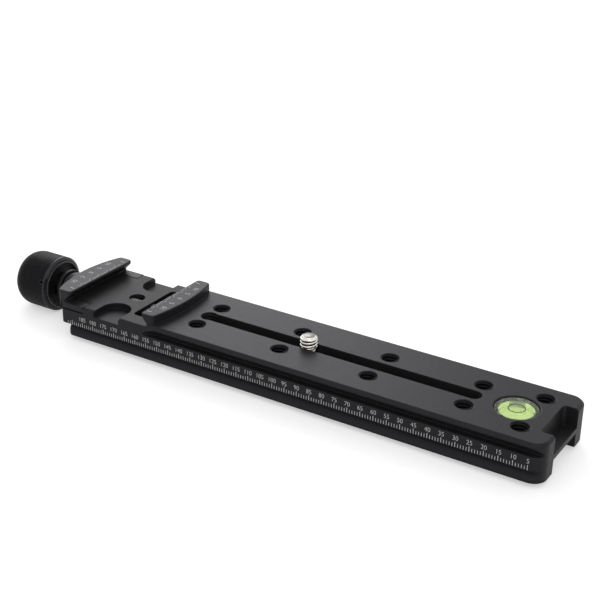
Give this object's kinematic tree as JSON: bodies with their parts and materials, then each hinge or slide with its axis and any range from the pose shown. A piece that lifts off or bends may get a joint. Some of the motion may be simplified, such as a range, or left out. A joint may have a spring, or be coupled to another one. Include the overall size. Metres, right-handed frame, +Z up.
{
  "type": "nodal slide rail",
  "caption": "Dovetailed slide rail with a scale, a captive camera screw in a long slot, a bubble level and a screw clamp across one end.",
  "frame": {"origin": "underside plane of the lower dovetail, at the middle of its length and width", "axes": "+X along the rail from the clamp to the bubble level, +Y across the rail away from the face seen in front, +Z up, out of the deck"},
  "size_m": [0.2289, 0.038, 0.0218],
  "materials": {
    "anodised_rail": "black anodised, fine matt",
    "anodised_jaw": "black anodised, fine matt",
    "anodised_knob": "black anodised, straight knurl",
    "steel": "ground",
    "spring_steel": "plain wire",
    "screw_steel": "turned",
    "washer_steel": "dark turned",
    "dark_steel": "black oxide",
    "bright_steel": "turned stainless",
    "nylon": "black nylon",
    "clear_acrylic": "clear, polished",
    "level_backing": "bright yellow-green",
    "level_liquid": "clear tinted liquid",
    "level_air": "clear",
    "ring_ink": "printed line"
  },
  "bodies": {
    "rail": {"rail_body": "anodised_rail", "jaw_spring_front": "spring_steel", "jaw_spring_rear": "spring_steel", "level_body": "clear_acrylic", "level_base": "level_backing", "level_fluid": "level_liquid", "level_bubble": "level_air", "level_target_ring": "ring_ink"},
    "jaw": {"movable_jaw": "anodised_jaw", "guide_pins": "steel", "nylon_washer": "nylon"},
    "knob": {"clamp_screw": "screw_steel", "retaining_clip": "spring_steel", "thrust_washer": "washer_steel", "clamp_knob": "anodised_knob", "knob_hub": "washer_steel", "knob_grub_screw": "dark_steel"},
    "slider": {"slide_washer": "nylon"},
    "stud": {"camera_screw": "bright_steel"},
    "handle": {"folding_handle": "bright_steel"}
  },
  "joints": [
    {"name": "jaw_slide", "type": "slide", "parent": "rail", "child": "jaw", "axis": [-1, 0, 0], "range_m": [0, 0.0075]},
    {"name": "knob_spin", "type": "hinge", "parent": "jaw", "child": "knob", "pos_m": [-0.11165, 0, 0.009], "axis": [-1, 0, 0], "range_deg": [0, 2160]},
    {"name": "camera_slide", "type": "slide", "parent": "rail", "child": "slider", "axis": [1, 0, 0], "range_m": [-0.0428, 0.064]},
    {"name": "camera_spin", "type": "hinge", "parent": "slider", "child": "stud", "pos_m": [-0.0005, 0, 0.0048], "axis": [0, 0, 1], "continuous": true},
    {"name": "handle_flip", "type": "hinge", "parent": "stud", "child": "handle", "pos_m": [-0.0005, 0, 0.0032], "axis": [0, 1, 0], "range_deg": [0, 180]}
  ],
  "couplings": [
    {"joint": "jaw_slide", "follows": "knob_spin", "m_per_rad": 0.00019894}
  ]
}
